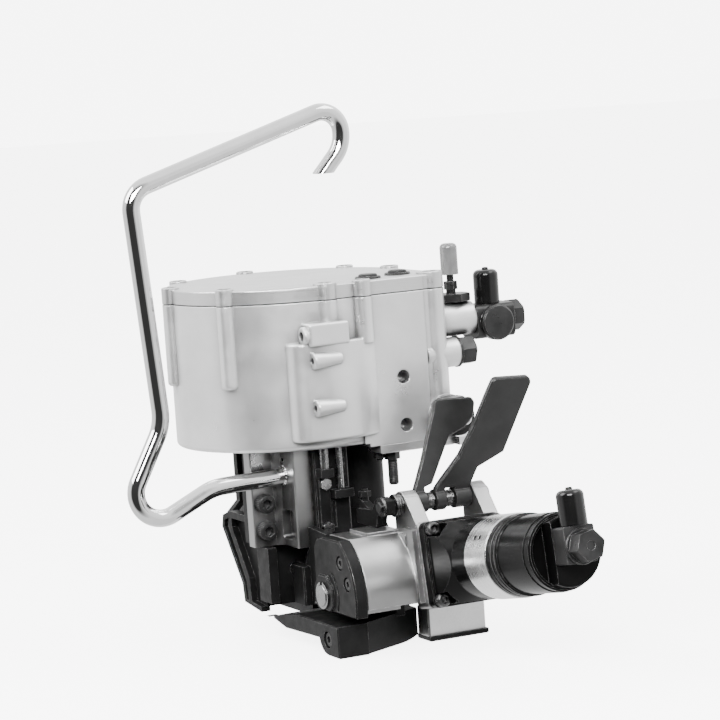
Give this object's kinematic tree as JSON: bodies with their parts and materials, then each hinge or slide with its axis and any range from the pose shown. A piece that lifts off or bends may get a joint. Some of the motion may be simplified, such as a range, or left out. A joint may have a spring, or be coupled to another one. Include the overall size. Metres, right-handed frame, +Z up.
{
  "type": "steel strapping tool",
  "caption": "Air-powered hand tool that tensions, crimps and cuts steel strap: big air cylinder over a jaw frame, tilted vane motor, two levers and a chrome hanging bail.",
  "frame": {"origin": "on the floor under the middle of the tool's bounding box", "axes": "+X along the strap towards the motor end, +Y to the side with the air fittings, +Z up; the strap is slipped in from -Y"},
  "size_m": [0.4378, 0.3113, 0.3893],
  "materials": {
    "cast_aluminium": "satin, blasted casting",
    "cover_aluminium": "machined, fine tool lines",
    "housing_aluminium": "satin casting",
    "block_aluminium": "brushed",
    "gasket": "matt",
    "screw_steel": "zinc plated, satin",
    "dark_plug": "satin dark",
    "bronze": "bronze bush",
    "fitting_steel": "nickel plated, satin",
    "black_cap": "glossy vinyl",
    "grey_cap": "translucent grey",
    "chrome": "polished chrome",
    "frame_black": "black oxide, satin",
    "plate_black": "black oxide, satin",
    "bracket_steel": "satin ground",
    "bright_steel": "ground",
    "tool_steel": "hardened, ground",
    "piston_aluminium": "turned",
    "vane_plastic": "fibre laminate",
    "motor_black": "glossy black",
    "inlet_grey": "dark grey satin",
    "band_steel": "bright turned",
    "lever_black": "black satin"
  },
  "bodies": {
    "frame": {"cylinder_body": "cast_aluminium", "cylinder_cover": "cover_aluminium", "cover_gasket": "gasket", "cover_screws": "screw_steel", "cover_plugs": "dark_plug", "rod_gland": "bronze", "valve_bottom_plate": "cover_aluminium", "adjuster_screw": "fitting_steel", "swivel_block": "fitting_steel", "banjo_bolt": "fitting_steel", "supply_cap": "black_cap", "breather_fitting": "fitting_steel", "breather_cap": "grey_cap", "port_plug": "fitting_steel", "valve_body": "fitting_steel", "stop_plunger": "chrome", "sealer_frame": "frame_black", "jaw_pins": "bright_steel", "bail_bracket": "bracket_steel", "bracket_screws": "dark_plug", "bail": "chrome", "frame_upright": "frame_black", "wear_strip": "plate_black", "upright_fasteners": "bright_steel", "side_plate": "plate_black", "pivot_pin": "bright_steel", "snap_ring": "bright_steel", "foot": "frame_black", "socket_screws": "dark_plug", "gripper_plug": "tool_steel", "rear_block": "block_aluminium", "base_strip": "frame_black"},
    "piston_unit": {"piston": "piston_aluminium", "piston_seal": "gasket", "piston_rod": "bright_steel", "crosshead": "bright_steel", "cutter_blade": "tool_steel"},
    "left_jaw": {"jaw_left": "tool_steel"},
    "right_jaw": {"jaw_right": "tool_steel"},
    "tensioner": {"gear_housing": "housing_aluminium", "gearbox_cover": "housing_aluminium", "release_cam": "frame_black", "motor_housing": "motor_black", "flange_screws": "screw_steel", "motor_liner": "tool_steel", "exhaust_band": "band_steel", "rear_barrel": "motor_black", "motor_end_bell": "motor_black", "inlet_block": "inlet_grey", "inlet_cap": "black_cap", "inlet_bolt": "fitting_steel", "lever_pin": "screw_steel", "lever_springs": "bright_steel"},
    "feed_drive": {"feed_shaft": "bright_steel", "feed_wheel": "tool_steel"},
    "rotor": {"motor_rotor": "tool_steel", "rotor_vanes": "vane_plastic"},
    "tension_handle": {"tension_lever": "lever_black"},
    "release_handle": {"release_lever": "lever_black"},
    "valve_button": {"valve_stem": "chrome"}
  },
  "joints": [
    {"name": "piston_slide", "type": "slide", "parent": "frame", "child": "piston_unit", "axis": [0, 0, 1], "range_m": [-0.024, 0]},
    {"name": "left_jaw_swing", "type": "hinge", "parent": "frame", "child": "left_jaw", "pos_m": [-0.1247, -0.0213, 0.05], "axis": [1, 0, 0], "range_deg": [0, 9]},
    {"name": "right_jaw_swing", "type": "hinge", "parent": "frame", "child": "right_jaw", "pos_m": [-0.1247, 0.0187, 0.05], "axis": [-1, 0, 0], "range_deg": [0, 9]},
    {"name": "tensioner_rock", "type": "hinge", "parent": "frame", "child": "tensioner", "pos_m": [-0.0182, -0.0013, 0.0426], "axis": [0, 1, 0], "range_deg": [0, 4], "stiffness_Nm_per_rad": 60, "springref_deg": -4.58},
    {"name": "feed_spin", "type": "hinge", "parent": "tensioner", "child": "feed_drive", "pos_m": [-0.0547, -0.0013, 0.04805], "axis": [0, 1, 0], "continuous": true},
    {"name": "motor_spin", "type": "hinge", "parent": "tensioner", "child": "rotor", "pos_m": [0.0332, 0.0487, 0.0626], "axis": [0.9866, 0, 0.1633], "continuous": true},
    {"name": "release_swing", "type": "hinge", "parent": "tensioner", "child": "release_handle", "pos_m": [0.0033, 0.0587, 0.103], "axis": [0, 1, 0], "range_deg": [0, 15]},
    {"name": "tension_swing", "type": "hinge", "parent": "tensioner", "child": "tension_handle", "pos_m": [0.0033, 0.0337, 0.103], "axis": [0, 1, 0], "range_deg": [-5, 0], "stiffness_Nm_per_rad": 0.6, "springref_deg": 8.59},
    {"name": "valve_press", "type": "slide", "parent": "frame", "child": "valve_button", "axis": [1, 0, 0], "range_m": [-0.00455, 0]}
  ],
  "couplings": [
    {"joint": "left_jaw_swing", "follows": "piston_slide", "rad_per_m": -6.54},
    {"joint": "right_jaw_swing", "follows": "piston_slide", "rad_per_m": -6.54},
    {"joint": "motor_spin", "follows": "feed_spin", "ratio": 2.5},
    {"joint": "release_swing", "follows": "tensioner_rock", "ratio": 3.74},
    {"joint": "valve_press", "follows": "tension_swing", "m_per_rad": 0.052}
  ]
}
